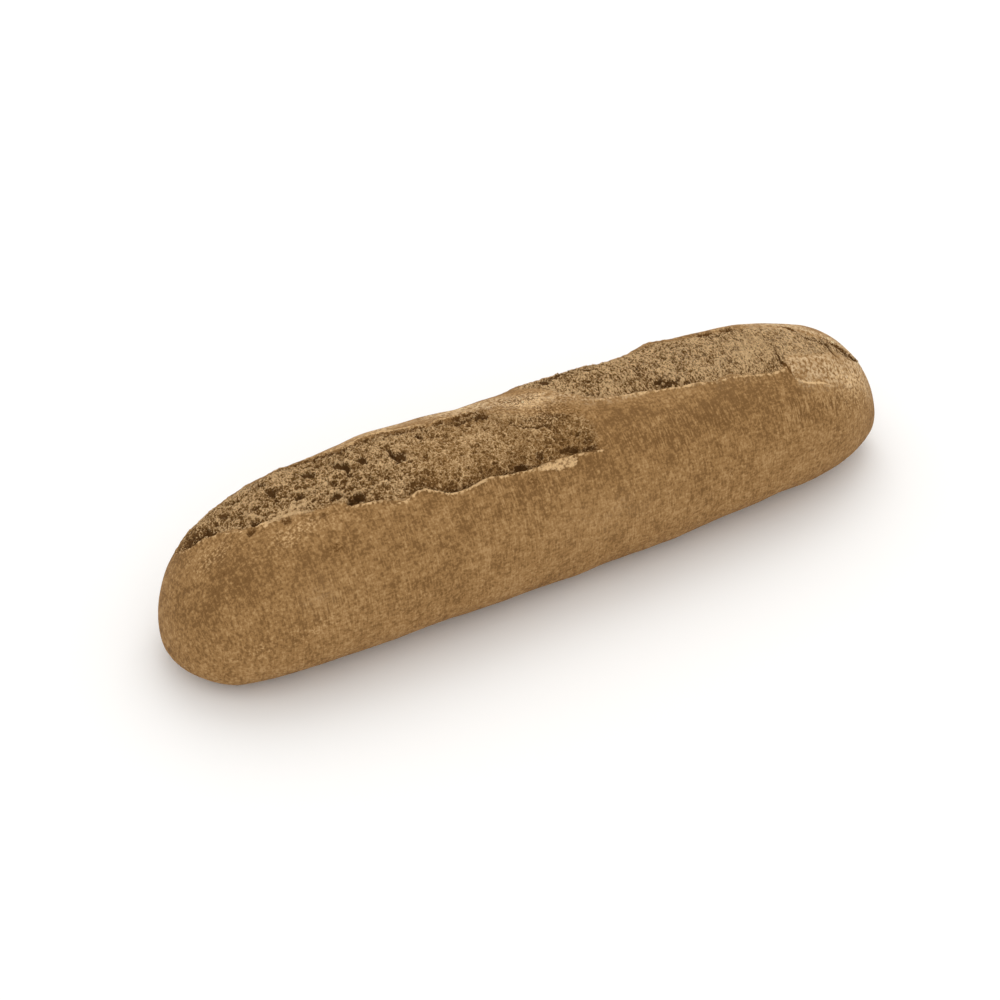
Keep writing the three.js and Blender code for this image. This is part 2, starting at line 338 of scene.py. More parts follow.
def webbing(spots, size, octaves, seed):
    """Stringy noise, about -1 to 1, high along thin strands between cells of the given size."""
    offset = Vector((seed * 11.9, seed * 3.7, seed * 6.1))
    values = (
        noise.ridged_multi_fractal(Vector(spot) / size + offset, 0.9, 2.1, octaves, 0.9, 2.0)
        for spot in spots
    )
    web = np.fromiter(values, dtype=float, count=len(spots))
    return np.clip((web - np.median(web)) / (2.0 * web.std() + 1e-9), -1, 1)


def burst_cells(spots, size, seed, share):
    """Burst cells of about the given size in mm, a share of them open.

    Returns how deep each spot lies in an open cell, and how near it is to the top of a wall
    beside one, both from 0 to 1.
    """
    offset = Vector((seed * 7.9, seed * 2.3, seed * 4.1))
    pit, rim = np.zeros(len(spots)), np.zeros(len(spots))
    for i, spot in enumerate(spots):
        place = Vector(spot) / size + offset
        place += noise.noise_vector(place * 1.7) * 0.45
        distances, centres = noise.voronoi(place)
        lots = [math.sin(c.x * 127.1 + c.y * 311.7 + c.z * 74.7) * 437.5 % 1 for c in centres[:2]]
        wall = distances[1] - distances[0]
        if lots[0] < share[i]:
            pit[i] = min(wall / 0.45, 1) * (0.45 + 0.55 * (1 - lots[0] / share[i]))
        if min(lots) < share[i]:
            rim[i] = math.exp(-((wall / 0.13) ** 2))
    return pit, rim


def smooth_step(low, high, value):
    t = np.clip((value - low) / (high - low), 0, 1)
    return t * t * (3 - 2 * t)


class LoafSettings(bpy.types.PropertyGroup):
    along: bpy.props.IntProperty(
        name="Rings", description="Rings of faces from nose to nose", default=206, min=40
    )
    around: bpy.props.IntProperty(
        name="Ring faces", description="Faces round each ring", default=150, min=24
    )
    lip_lift: bpy.props.FloatProperty(
        name="Lip lift", description="How far the crust curls up at a score's near lip",
        default=0.0011, unit="LENGTH",
    )
    groove: bpy.props.FloatProperty(
        name="Groove", description="How far the crumb drops behind a lip",
        default=0.0024, unit="LENGTH",
    )
    crumb_grain: bpy.props.FloatProperty(
        name="Crumb grain", description="Height of the torn crumb's grain",
        default=0.0006, unit="LENGTH",
    )


class BakeColours(bpy.types.PropertyGroup):
    crust: bpy.props.FloatVectorProperty(
        name="Crust", description="Main brown of the flanks", subtype="COLOR",
        size=4, min=0, max=1, default=(0.288, 0.158, 0.058, 1),
    )
    crust_dark: bpy.props.FloatVectorProperty(
        name="Dark crust", description="Deeper brown of well-baked patches", subtype="COLOR",
        size=4, min=0, max=1, default=(0.182, 0.093, 0.031, 1),
    )
    crust_pale: bpy.props.FloatVectorProperty(
        name="Pale crust", description="Worn and streaked lighter brown", subtype="COLOR",
        size=4, min=0, max=1, default=(0.4, 0.24, 0.104, 1),
    )
    crumb: bpy.props.FloatVectorProperty(
        name="Crumb", description="Torn crumb in the scores", subtype="COLOR",
        size=4, min=0, max=1, default=(0.288, 0.152, 0.049, 1),
    )
    crumb_pale: bpy.props.FloatVectorProperty(
        name="Pale crumb", description="High grain of the torn crumb", subtype="COLOR",
        size=4, min=0, max=1, default=(0.8, 0.54, 0.28, 1),
    )
    # Hollows: painted shade on the floors of bubbles, in the grooves behind the lips, under the far
    # lips and in creases; also the darkest toasted crust.
    hollow_shade_and_toast: bpy.props.FloatVectorProperty(
        name="Hollows", description="Toasted floor of bubbles and grooves", subtype="COLOR",
        size=4, min=0, max=1, default=(0.118, 0.053, 0.013, 1),
    )
    flour: bpy.props.FloatVectorProperty(
        name="Flour", description="Dusting of flour on the crust", subtype="COLOR",
        size=4, min=0, max=1, default=(0.62, 0.44, 0.255, 1),
    )
    # Glint: painted highlights, small sparkles of light on the flour.
    glint: bpy.props.FloatVectorProperty(
        name="Glint", description="Single bright grains of flour", subtype="COLOR",
        size=4, min=0, max=1, default=(0.8, 0.7, 0.42, 1),
    )


class StudioSettings(bpy.types.PropertyGroup):
    floor: bpy.props.FloatVectorProperty(
        name="Floor", description="Colour of the floor", subtype="COLOR",
        size=4, min=0, max=1, default=(0.93, 0.93, 0.93, 1),
    )
    sky: bpy.props.FloatProperty(
        name="Fill", description="Strength of the even light all round", default=0.95
    )
    key: bpy.props.FloatProperty(
        name="Key", description="Power of the soft main light", default=2.9, unit="POWER"
    )
    lens: bpy.props.FloatProperty(
        name="Lens", description="Focal length of the camera", default=0.0923, unit="CAMERA"
    )


GROUPS["baguette_loaf"] = LoafSettings
GROUPS["baguette_colours"] = BakeColours
GROUPS["baguette_studio"] = StudioSettings


class Graph:
    """Short ways to add and join the nodes of one material."""

    def __init__(self, name):
        self.material = bpy.data.materials.new(name)
        self.material.use_nodes = True
        self.nodes = self.material.node_tree.nodes
        self.links = self.material.node_tree.links
        self.shader = self.nodes["Principled BSDF"]
        self.place = self.nodes.new("ShaderNodeTexCoord").outputs["Object"]

    def put(self, socket, value):
        if isinstance(value, bpy.types.NodeSocket):
            self.links.new(value, socket)
        else:
            socket.default_value = value

    def stretch(self, scale, turn=(0, 0, 0)):
        node = self.nodes.new("ShaderNodeMapping")
        node.inputs["Scale"].default_value = scale
        node.inputs["Rotation"].default_value = turn
        self.links.new(self.place, node.inputs["Vector"])
        return node.outputs["Vector"]

    def cloud(self, scale, detail=3.0, roughness=0.55, vector=None):
        node = self.nodes.new("ShaderNodeTexNoise")
        self.links.new(vector or self.place, node.inputs["Vector"])
        node.inputs["Scale"].default_value = scale
        node.inputs["Detail"].default_value = detail
        node.inputs["Roughness"].default_value = roughness
        return node.outputs["Fac"]

    def cells(self, scale, vector=None, output="Distance", feature="F1"):
        node = self.nodes.new("ShaderNodeTexVoronoi")
        node.feature = feature
        self.links.new(vector or self.place, node.inputs["Vector"])
        node.inputs["Scale"].default_value = scale
        return node.outputs[output]

    def wandering(self, scale, amount):
        """Object coordinates pushed about by noise, by the given amount in metres."""
        drift = self.nodes.new("ShaderNodeTexNoise")
        self.links.new(self.place, drift.inputs["Vector"])
        drift.inputs["Scale"].default_value = scale
        node = self.nodes.new("ShaderNodeVectorMath")
        node.operation = "MULTIPLY_ADD"
        self.links.new(drift.outputs["Color"], node.inputs[0])
        node.inputs[1].default_value = (amount, amount, amount)
        self.links.new(self.place, node.inputs[2])
        return node.outputs["Vector"]

    def burst(self, scale, openness):
        """Burst cells: how deep a place lies in an open one, and how near it is to a wall."""
        vector = self.wandering(scale * 0.8, 1.4 / scale)
        lot = self.cells(scale, vector, "Color")
        wall = self.cells(scale, vector, "Distance", "DISTANCE_TO_EDGE")
        chance = self.calc("ADD", lot, self.calc("MULTIPLY", openness, 0.35))
        is_open = self.spread(chance, 0.66, 0.7)
        pit = self.calc("MULTIPLY", is_open, self.spread(wall, 0.04, 0.2))
        rim = self.calc("MULTIPLY", self.spread(chance, 0.5, 0.66), self.spread(wall, 0.09, 0.02))
        return pit, rim

    def weigh(self, *parts, middle=0.5):
        """Adds up values, each measured from the middle and times its weight."""
        total = -middle * sum(weight for _, weight in parts)
        for value, weight in parts:
            total = self.calc("ADD", self.calc("MULTIPLY", value, weight), total)
        return total

    def spread(self, value, low, high, out_low=0.0, out_high=1.0):
        node = self.nodes.new("ShaderNodeMapRange")
        node.interpolation_type = "SMOOTHSTEP"
        self.put(node.inputs["Value"], value)
        node.inputs["From Min"].default_value = low
        node.inputs["From Max"].default_value = high
        node.inputs["To Min"].default_value = out_low
        node.inputs["To Max"].default_value = out_high
        return node.outputs["Result"]

    def calc(self, kind, a, b):
        node = self.nodes.new("ShaderNodeMath")
        node.operation = kind
        self.put(node.inputs[0], a)
        self.put(node.inputs[1], b)
        return node.outputs["Value"]

    def blend(self, amount, a, b):
        node = self.nodes.new("ShaderNodeMix")
        node.data_type = "RGBA"
        self.put(node.inputs["Factor"], amount)
        self.put(node.inputs["A"], a)
        self.put(node.inputs["B"], b)
        return node.outputs["Result"]

    def mark(self, name):
        node = self.nodes.new("ShaderNodeAttribute")
        node.attribute_name = name
        return node.outputs["Fac"]

    def bump(self, height, strength, distance, below=None):
        node = self.nodes.new("ShaderNodeBump")
        node.inputs["Strength"].default_value = strength
        node.inputs["Distance"].default_value = distance
        self.links.new(height, node.inputs["Height"])
        if below:
            self.links.new(below, node.inputs["Normal"])
        return node.outputs["Normal"]


def fold_layers(g):
    """Thin layers of crust folded beside the far lips, about -1 to 1."""
    ply = g.mark("ply")
    layers = g.calc("MULTIPLY", g.calc("SUBTRACT", 1, ply), PLY_REACH * 4.4)
    layers = g.calc("ADD", layers, g.spread(g.cloud(260), 0.3, 0.7, 0, 5))
    amount = g.calc("MULTIPLY", g.mark("folded"), g.spread(ply, 0.1, 0.75, 0, 0.22))
    return g.calc("MULTIPLY", g.calc("SINE", layers, 0), amount)


def crust_tone(g, grain, layers):
    """How pale or how well baked the crust is, darkened by the toast mark, which is partly painted
    shade, about -1 to 1.
    """
    streak = g.cloud(1, 3, 0.6, g.stretch((2000, 280, 280)))
    along = g.cloud(1, 3, 0.6, g.stretch((260, 1700, 1700)))
    combed = g.calc(
        "MULTIPLY", g.calc("SUBTRACT", streak, 0.5), g.spread(g.mark("comb"), 0, 1, 1.3, 4.2))
    tone = g.calc("ADD", combed, g.weigh(
        (g.cloud(110, 3), 0.9), (g.cloud(420, 3, 0.6), 1.3), (along, 0.8), (grain, 2.2)))
    tone = g.calc("ADD", tone, layers)
    return g.calc("SUBTRACT", tone, g.calc("MULTIPLY", g.mark("toast_and_shade"), 0.42))


def crust_colour(g, colours, tone):
    """Baked crust with flour on it. Returns the colour, and how much flour lies there."""
    crust = g.blend(g.spread(tone, 0, -0.45), colours.crust, colours.crust_dark)
    crust = g.blend(g.spread(tone, 0, 0.5), crust, colours.crust_pale)
    crust = g.blend(g.spread(tone, -0.45, -1.0, 0, 0.45), crust, colours.hollow_shade_and_toast)
    flour = g.mark("flour")
    dust = g.cloud(1, 3, 0.6, g.stretch((1100, 800, 900), (0, 0, 0.12)))
    settled = g.spread(g.calc("ADD", dust, g.calc("MULTIPLY", flour, 0.12)), 0.46, 0.72)
    dusted = g.calc("MULTIPLY", settled, g.spread(flour, 0.05, 0.6))
    crust = g.blend(g.calc("MULTIPLY", flour, 0.75), crust, colours.crust_pale)
    crust = g.blend(dusted, crust, colours.flour)
    bare = g.calc("MULTIPLY", g.spread(flour, 0.15, 0.5), g.spread(dust, 0.5, 0.3, 0, 0.9))
    return g.blend(bare, crust, colours.crust_dark), dusted


def crumb_level(g, grain):
    """How high the torn crumb stands: cell walls, strands and grain round 0.5."""
    airy, comb = g.mark("airy"), g.mark("comb")
    pits, walls = g.burst(480, airy)
    small_pits, small_walls = g.burst(900, airy)
    cells = g.weigh((pits, -0.25), (small_pits, -0.15), (walls, 0.3), (small_walls, 0.15), middle=0)
    lumps = g.weigh(
        (g.mark("height"), 0.75), (g.cloud(90, 3), 0.7), (g.cloud(650, 3, 0.7), 0.5), (grain, 3.3))
    strands = g.cloud(1, 3, 0.65, g.stretch((1900, 620, 620), (0, 0, 0.12)))
    strands = g.calc("MULTIPLY", g.calc("SUBTRACT", strands, 0.5), g.spread(comb, 0, 1, 0.7, 3.6))
    level = g.calc("ADD", g.calc("ADD", cells, lumps), strands)
    # The toast mark, partly painted shade, lowers the crumb and so darkens it.
    level = g.calc("ADD", level, g.calc("MULTIPLY", g.mark("toast_and_shade"), -0.35))
    lively = g.calc("MAXIMUM", g.spread(airy, 0.3, 0.9, 1, 1.5), g.spread(comb, 0.2, 0.9, 1, 1.5))
    return g.calc("ADD", g.calc("MULTIPLY", level, lively), 0.5)


def crumb_colour(g, colours, level, dusted):
    """Torn crumb, with painted light where it stands high and painted shade where it is low."""
    torn = g.blend(g.spread(level, 0.25, 1.4), colours.crumb, colours.crumb_pale)
    torn = g.blend(g.spread(level, 0.4, -0.1, 0, 0.9), torn, colours.hollow_shade_and_toast)
    return g.blend(g.calc("MULTIPLY", dusted, 0.4), torn, colours.flour)


def bread_material(colours):
    """Crust and torn crumb in one material, told apart by marks on the mesh, with painted shade in
    the hollows and painted glints on the flour.
    """
    g = Graph("crust_and_crumb")
    crumb, flour = g.mark("crumb"), g.mark("flour")
    grain, crumb_grain = g.cloud(1150, 3, 0.62), g.cloud(1700, 4, 0.75)
    layers = fold_layers(g)
    tone = crust_tone(g, grain, layers)
    level = crumb_level(g, crumb_grain)
    crust, dusted = crust_colour(g, colours, tone)
    colour = g.blend(crumb, crust, crumb_colour(g, colours, level, dusted))

    bared = g.calc("ADD", g.mark("edge"), g.spread(grain, 0.34, 0.66, -0.25, 0.25))
    colour = g.blend(g.spread(bared, 0.2, 0.8, 0, 0.66), colour, colours.crumb_pale)
    # Painted shade: the hollow mark and the low fine grain darken pits, grooves and creases towards
    # the hollow colour.
    deepest = g.calc("MULTIPLY", g.mark("hollow_shade_and_toast"), 1.3)
    pitted = g.calc("ADD", deepest, g.spread(crumb_grain, 0.36, 0.64, 0.4, -0.4))
    colour = g.blend(g.spread(pitted, 0.35, 0.85), colour, colours.hollow_shade_and_toast)
    # Painted highlights: small sparkles of light on floury places.
    glints = g.calc("MULTIPLY", g.spread(g.cells(650), 0.26, 0.16), g.spread(flour, 0.6, 0.8))
    g.put(g.shader.inputs["Base Color"], g.blend(glints, colour, colours.glint))

    g.put(g.shader.inputs["Roughness"], g.spread(grain, 0.3, 0.7, 0.75, 0.95))
    g.shader.inputs["Specular IOR Level"].default_value = 0.1
    wrinkles = g.bump(layers, 0.8, 0.0006)
    wrinkles = g.bump(tone, 0.5, 0.0002, wrinkles)
    relief = g.calc("MULTIPLY", level, g.spread(crumb, 0, 1))
    g.put(g.shader.inputs["Normal"], g.bump(relief, 0.7, 0.0004, wrinkles))
    return g.material


class Surface:
    """The loaf's vertices, and what the baking did to each of them, with the shade painted on them.
    """

    def __init__(self, station, girth, settings):
        self.station, self.girth = station, girth
        self.x = station * LENGTH / 2
        self.flat = np.stack([self.x, girth / DEGREES_PER_MM], axis=1)
        self.spots = crust_point(station, girth, np.zeros_like(station))
        self.lift = np.zeros_like(station)
        self.settings = settings
        self.ragged = fractal(self.spots, 1.3, 2, RAGGED_SEED)
        self.cloudy = fractal(self.spots, 7, 3, CLOUDY_SEED)
        self.uneven = 1 + 0.6 * self.cloudy + 0.2 * self.ragged
        self.marks = {name: np.zeros_like(station)
                      for name in ("crumb", "height", "airy", "hollow_shade_and_toast", "edge", "ply", "folded",
                                   "flour", "toast_and_shade", "comb")}

    def mark(self, name, amount, who=slice(None)):
        """Raises a mark to the given amounts, on some of the vertices or on all."""
        self.marks[name][who] = np.maximum(self.marks[name][who], np.clip(amount, 0, 1))


class Lip:
    """One lip of a score, laid flat in mm, with the small wander of torn dough."""

    def __init__(self, points, seed):
        line = smooth_line(points, 6)
        line[:, 1] /= DEGREES_PER_MM
        wander = np.array([
            noise.noise(Vector((x / 5, v / 5, seed))) * 0.4
            + noise.noise(Vector((x / 1.8, v / 1.8, seed))) * 0.3
            for x, v, _, _ in line
        ])
        line[:, 1] += wander * np.sin(np.linspace(0, math.pi, len(line))) ** 0.5
        self.line = line[:, :2]
        self.stand, self.fall = np.clip(line[:, 2:], 0, 1).T

    def measure(self, spots):
        """Distance from each spot, and how the lip stands and the crumb falls at that place."""
        gap, along = distance_to(self.line, spots)
        place = np.arange(len(self.line))
        return gap, np.interp(along, place, self.stand), np.interp(along, place, self.fall)


def raise_lip(surface, who, gap, stand, within):
    """Curls one lip up and bares its pale edge."""
    outwards = np.where(within, -gap, gap)
    height = surface.settings.lip_lift * 1000 * (1 + 0.5 * surface.cloudy[who]) * stand
    curl = np.where(within, np.exp(-gap / 0.3), np.exp(-gap / 0.6))
    swell = np.where(within, 0, 0.2 * np.exp(-((gap / 4) ** 2)))
    surface.lift[who] += height * curl + stand * swell
    bared = np.exp(-(((outwards - 0.2) / 0.52) ** 2)) * (0.8 + 0.8 * surface.ragged[who])
    bared += 0.35 * surface.cloudy[who] * np.exp(-np.abs(outwards) / 0.6)
    surface.mark("edge", stand * bared, who)


def open_score(surface, score):
    """Sinks and tears one score, and paints shade in its grooves and under its far lip."""
    near_lip, far_lip = score["lips"]
    outline = np.vstack([near_lip.line, far_lip.line[::-1]])
    low, high = outline.min(axis=0) - 6, outline.max(axis=0) + 6
    who = np.flatnonzero(np.all((surface.flat > low) & (surface.flat < high), axis=1))
    flat, spots = surface.flat[who], surface.spots[who]
    ragged, cloudy = surface.ragged[who], surface.cloudy[who]
    near, near_stand, near_fall = near_lip.measure(flat)
    far, far_stand, far_fall = far_lip.measure(flat)
    within = inside_of(outline, flat)
    raise_lip(surface, who, near, near_stand, within)
    raise_lip(surface, who, far, 0.7 * far_stand, within)

    surface.mark("ply", 1 - far / PLY_REACH, who)
    surface.mark("folded", score["folded"](surface.x[who]) * (near > far), who)
    layered = np.sin(far * 2.6 - 0.6) * np.exp(-far / 3) * np.where(within, 0, far_fall)
    crumbly = (0.6 * ragged + 0.8 * cloudy) * np.exp(-far / 2)
    crumbly *= np.where(within, 0, 0.4 + far_stand)
    surface.lift[who] += 0.35 * layered + 0.45 * crumbly
    # Painted shade in the small dips of the crust beside the far lip.
    surface.mark("hollow_shade_and_toast", 0.9 * np.clip(-crumbly, 0, 0.6), who)

    near_soft, far_soft = (3.4 * (1 - stand) ** 1.3 for stand in (near_stand, far_stand))
    near_wall = smooth_step(0, 0.45 + near_soft, near + 0.25 * ragged + 0.6 * near_soft * cloudy)
    far_wall = smooth_step(0, 0.45 + far_soft, far + 0.25 * ragged + 0.6 * far_soft * cloudy)
    opened = np.where(within, near_wall * far_wall, 0)
    drop = surface.settings.groove * 1000
    near_dip = near_fall * np.exp(-np.maximum(near - 0.5, 0) / 1.8)
    far_dip = 0.45 * far_fall * np.exp(-np.maximum(far - 0.5, 0) / 1.4)
    fall = np.maximum(near_dip, far_dip)
    surface.lift[who] -= opened * (0.15 + 0.2 * near_fall + drop * fall)
    # Painted shade where the crumb falls away behind each lip, and a dark line under the far lip.
    near_shade = near_fall * smooth_step(0, 0.25, near) * np.exp(-np.maximum(near - 0.5, 0) / 0.9)
    far_shade = far_fall * smooth_step(0, 0.2, far) * np.exp(-np.maximum(far - 0.4, 0) / 0.55)
    near_shade *= 0.8 + 0.5 * ragged + 0.5 * cloudy
    far_shade *= 0.35 + 0.6 * ragged + 0.6 * cloudy
    far_shade += 0.8 * far_fall * far_stand * np.exp(-(((far - 0.35) / 0.28) ** 2))
    surface.mark("hollow_shade_and_toast", np.where(within, np.maximum(near_shade, far_shade), 0), who)
    surface.mark("crumb", opened, who)

    torn = opened > 0.02
    who, spots, opened = who[torn], spots[torn], opened[torn]
    tear_crumb(surface, who, spots, opened, score)


def tear_crumb(surface, who, spots, opened, score):
    """Grain, strands and burst cells of the torn crumb."""
    seed, x, girth = score["seed"], surface.x[who], surface.girth[who]
    calm = score["calm"](x, girth)
    slanted = spots @ np.array(score["stretch"])
    rough = 0.6 * webbing(slanted, 1.1, 2, seed + 5) + 0.7 * fractal(slanted, 2.2, 3, seed + 6)
    rough += 0.7 * fractal(slanted, 5.5, 3, seed + 8)
    height = score["paleness"] + 0.42 * rough
    sink = np.zeros(len(who))
    for size, depth, plenty in score["cells"]:
        share = np.clip(plenty * score["share"](x, girth), 0, 0.9)
        pit, rim = burst_cells(slanted, size, seed + size, share)
        sink = np.maximum(sink, pit * depth)
        height = height - 0.75 * pit * depth + 0.3 * rim
        surface.lift[who] += 0.12 * rim * opened * calm
    grain = surface.settings.crumb_grain * 1000
    surface.lift[who] += opened * calm * (grain * rough - sink)
    height = 0.5 + (height - 0.5) * (0.35 + 0.65 * calm)
    surface.marks["height"][who] = np.clip(height, 0, 1)
    surface.mark("comb", score["strands"] * opened, who)
    surface.marks["airy"][who] = np.clip(score["share"](x, girth) * calm, 0, 1)
    # Painted shade in the low places of the crumb.
    surface.mark("hollow_shade_and_toast", 0.8 * smooth_step(0.1, -0.25, height) * opened, who)


def press_hollows(surface):
    """Ragged hollows where single bubbles and pockets have been torn open, their floors darkened
    with painted shade.
    """
    across, up = surface.flat.T
    for x, girth, length, width, turn, depth in HOLLOWS:
        length, width = length * HOLLOW_SPREAD, width * HOLLOW_SPREAD
        dx, dv = across - x, up - girth / DEGREES_PER_MM
        close = np.flatnonzero(np.hypot(dx, dv) < 2 * max(length, width))
        dx, dv = dx[close], dv[close]
        c, s = math.cos(math.radians(turn)), math.sin(math.radians(turn))
        reach = np.hypot((dx * c + dv * s) / length, (dv * c - dx * s) / width)
        reach += 0.5 * surface.ragged[close]
        surface.lift[close] -= depth * np.clip(1 - reach**2, 0, 1) ** 0.6
        # Painted shade on each hollow's floor.
        dark = np.minimum(0.86, 0.7 * depth + 0.2 * surface.marks["crumb"][close])
        surface.mark("hollow_shade_and_toast", smooth_step(1.15, 0.7, reach) * dark, close)
        rim = np.exp(-(((reach - 1.3) / 0.2) ** 2)) * smooth_step(0.8, 1.3, depth)
        surface.lift[close] += 0.15 * rim
        surface.mark("edge", 0.55 * rim * (0.6 + surface.ragged[close]), close)


def lay_threads(surface):
    """Thin threads that stand up from the crumb, and creases that sink into the crust and are
    darkened with painted shade.
    """
    for points, width, lift, mark in THREADS:
        line = unrolled(smooth_line(points, 5))
        low, high = line.min(axis=0) - 3, line.max(axis=0) + 3
        who = np.flatnonzero(np.all((surface.flat > low) & (surface.flat < high), axis=1))
        gap, along = distance_to(line, surface.flat[who])
        fade = np.sin(math.pi * np.clip(along / (len(line) - 1), 0.02, 0.98)) ** 0.5
        gap += 0.3 * width * surface.ragged[who]
        strength = fade * np.exp(-((gap / (1.15 * width)) ** 2)) * (1 + 0.4 * surface.ragged[who])
        surface.lift[who] += lift * strength
        # Threads of dough take the painted shade off the crumb beneath them.
        if mark == "edge":
            surface.marks["hollow_shade_and_toast"][who] *= 1 - np.clip(strength, 0, 1)
        surface.mark(mark, 1.2 * strength, who)


def lay_patches(surface):
    """Soft patches. Those low on the flank leave the crumb alone."""
    x, v = surface.flat.T
    for name, at, girth, along, round_, amount in PATCHES:
        away = ((x - at) / along) ** 2 + ((v - girth / DEGREES_PER_MM) / round_) ** 2
        on_crust = 1 - surface.marks["crumb"] if girth > 30 else 1
        surface.mark(name, amount * surface.uneven * on_crust * np.exp(-away))
    surface.mark("toast_and_shade", 0.22 * surface.cloudy)


def dust_strap(surface):
    """Flour along the strap, in a line that thins out towards the right."""
    gap, run = distance_to(unrolled(STRAP_LINE), surface.flat)
    band = np.exp(-((gap / (7 - 0.9 * run)) ** 2))
    surface.mark("flour", (0.8 - 0.08 * run) * surface.uneven * band)


def dust_right_end(surface):
    """Flour along the rim of the right end, and thinly on the crust above its flank."""
    x, girth, height = surface.x, surface.girth, surface.spots[:, 2]
    gap, _ = distance_to(unrolled(RIM_LINE), surface.flat)
    band = np.exp(-((gap / 2.2) ** 2)) * smooth_step(123, 118, x)
    surface.mark("flour", surface.uneven * band)
    low_edge = 37 + (x - 84) * 0.75
    dusted = smooth_step(83, 85, x) * smooth_step(low_edge + 14, low_edge - 8, girth)
    dusted *= smooth_step(12, 26, height) * smooth_step(-60, -25, girth)
    surface.mark("flour", 0.5 * dusted * surface.uneven)


def bare_flap(surface):
    """The pale scrap of bare dough below the first score."""
    flap = inside_of(unrolled(FLAP_OUTLINE), surface.flat + 0.35 * surface.ragged[:, None])
    surface.mark("edge", (0.66 + 0.1 * surface.cloudy) * flap)
    # Most of the painted shade is taken off the flap.
    surface.marks["hollow_shade_and_toast"][flap] *= 0.2


def bake_crust(surface):
    """Gentle unevenness all over, and the listed swells and dents."""
    surface.lift += 0.45 * fractal(surface.spots, 34, 2, SWELL_SEED)
    surface.lift += 0.16 * fractal(surface.spots, 9, 3, RIPPLE_SEED)
    for x, girth, along, round_, lift in SWELLS:
        away = ((surface.x - x) / along) ** 2 + ((surface.girth - girth) / round_) ** 2
        surface.lift += lift * np.exp(-away)


FIRST_SCORE = {
    "lips": (Lip(FIRST_NEAR, 3), Lip(FIRST_FAR, 43)), "seed": 3, "paleness": 0.575, "strands": 0.15,
    "stretch": ((1.0, 0, 0), (0, 0.9, 0), (0, 0, 0.9)),
    "calm": lambda x, girth: 1 - 0.45 * np.exp(-(((x + 34) / 12) ** 2) - ((girth - 10) / 20) ** 2),
    "cells": ((2.3, 0.9, 0.3), (1.3, 0.55, 0.5)),
    "share": lambda x, girth: np.clip(0.3 - x / 110, 0.25, 1.1),
    "folded": lambda x: smooth_step(6, -2, x),
}
SECOND_SCORE = {
    "lips": (Lip(SECOND_NEAR, 5), Lip(SECOND_FAR, 45)), "seed": 5, "paleness": 0.73, "strands": 0.9,
    "stretch": ((1.1, 0.3, 0), (-0.4, 0.6, 0), (0, 0, 0.7)),
    "calm": lambda x, girth: 1 - 0.5 * smooth_step(80, 90, x),
    "cells": ((1.7, 0.6, 0.2), (1.0, 0.4, 0.45)),
    "share": lambda x, girth: np.clip(1.1 - x / 130, 0.2, 1.0),
    "folded": lambda x: smooth_step(20, 30, x) * smooth_step(92, 80, x),
}


def ring_stations(fractions):
    """Stations that space the rings evenly over the loaf's long outline."""
    angle = np.linspace(0, math.pi, 2001)
    station = -np.cos(angle)
    radius = WIDTH / 2 * nose_taper(station, NOSE_PLAN)
    steps = np.hypot(np.diff(station) * LENGTH / 2, np.diff(radius))
    travelled = np.concatenate([[0], np.cumsum(steps)])
    return np.interp(fractions * travelled[-1], travelled, station)


def loaf_coordinates(places):
    """Station and girth of points on the unit ball that the loaf is drawn from."""
    unit = places / np.linalg.norm(places, axis=1)[:, None]
    fractions = 1 - np.arccos(np.clip(unit[:, 2], -1, 1)) / math.pi
    girth = np.degrees(np.arctan2(-unit[:, 0], unit[:, 1]))
    return ring_stations(fractions), girth


def settle_order(bm):
    """Gives edges and faces one fixed order, which the ball's operator leaves to chance."""
    bm.verts.index_update()
    count = len(bm.verts)

    def rank(item):
        first, second, *rest = sorted(v.index for v in item.verts)
        return (first * count + second) * count + (rest[0] if rest else 0)

    bm.edges.sort(key=rank)
    bm.faces.sort(key=rank)
    mesh = bpy.data.meshes.new("ball")
    bm.to_mesh(mesh)
    ends = np.empty(len(mesh.edges) * 2, dtype=np.int32)
    mesh.edges.foreach_get("vertices", ends)
    mesh.edges.foreach_set("vertices", np.sort(ends.reshape(-1, 2)).ravel())
    bm.clear()
    bm.from_mesh(mesh)
    bpy.data.meshes.remove(mesh)


def split_scored_faces(bm, scores):
    """Makes the mesh finer where the scores are."""
    bm.verts.index_update()
    places = np.array([v.co[:] for v in bm.verts])
    station, girth = loaf_coordinates(places)
    flat = np.stack([station * LENGTH / 2, girth / DEGREES_PER_MM], axis=1)
    fine = np.zeros(len(flat), dtype=bool)
    for near, far in (score["lips"] for score in scores):
        fine |= inside_of(np.vstack([near.line, far.line[::-1]]), flat)
        fine |= (near.measure(flat)[0] < 1.8) | (far.measure(flat)[0] < 1.8)
    for points, width, _, _ in THREADS:
        fine |= distance_to(unrolled(smooth_line(points, 3)), flat)[0] < width + 0.6
    edges = {
        edge for face in bm.faces if any(fine[v.index] for v in face.verts)
        for edge in face.edges
    }
    bmesh.ops.subdivide_edges(bm, edges=sorted(edges, key=lambda e: e.index), cuts=3,
                              use_grid_fill=True)


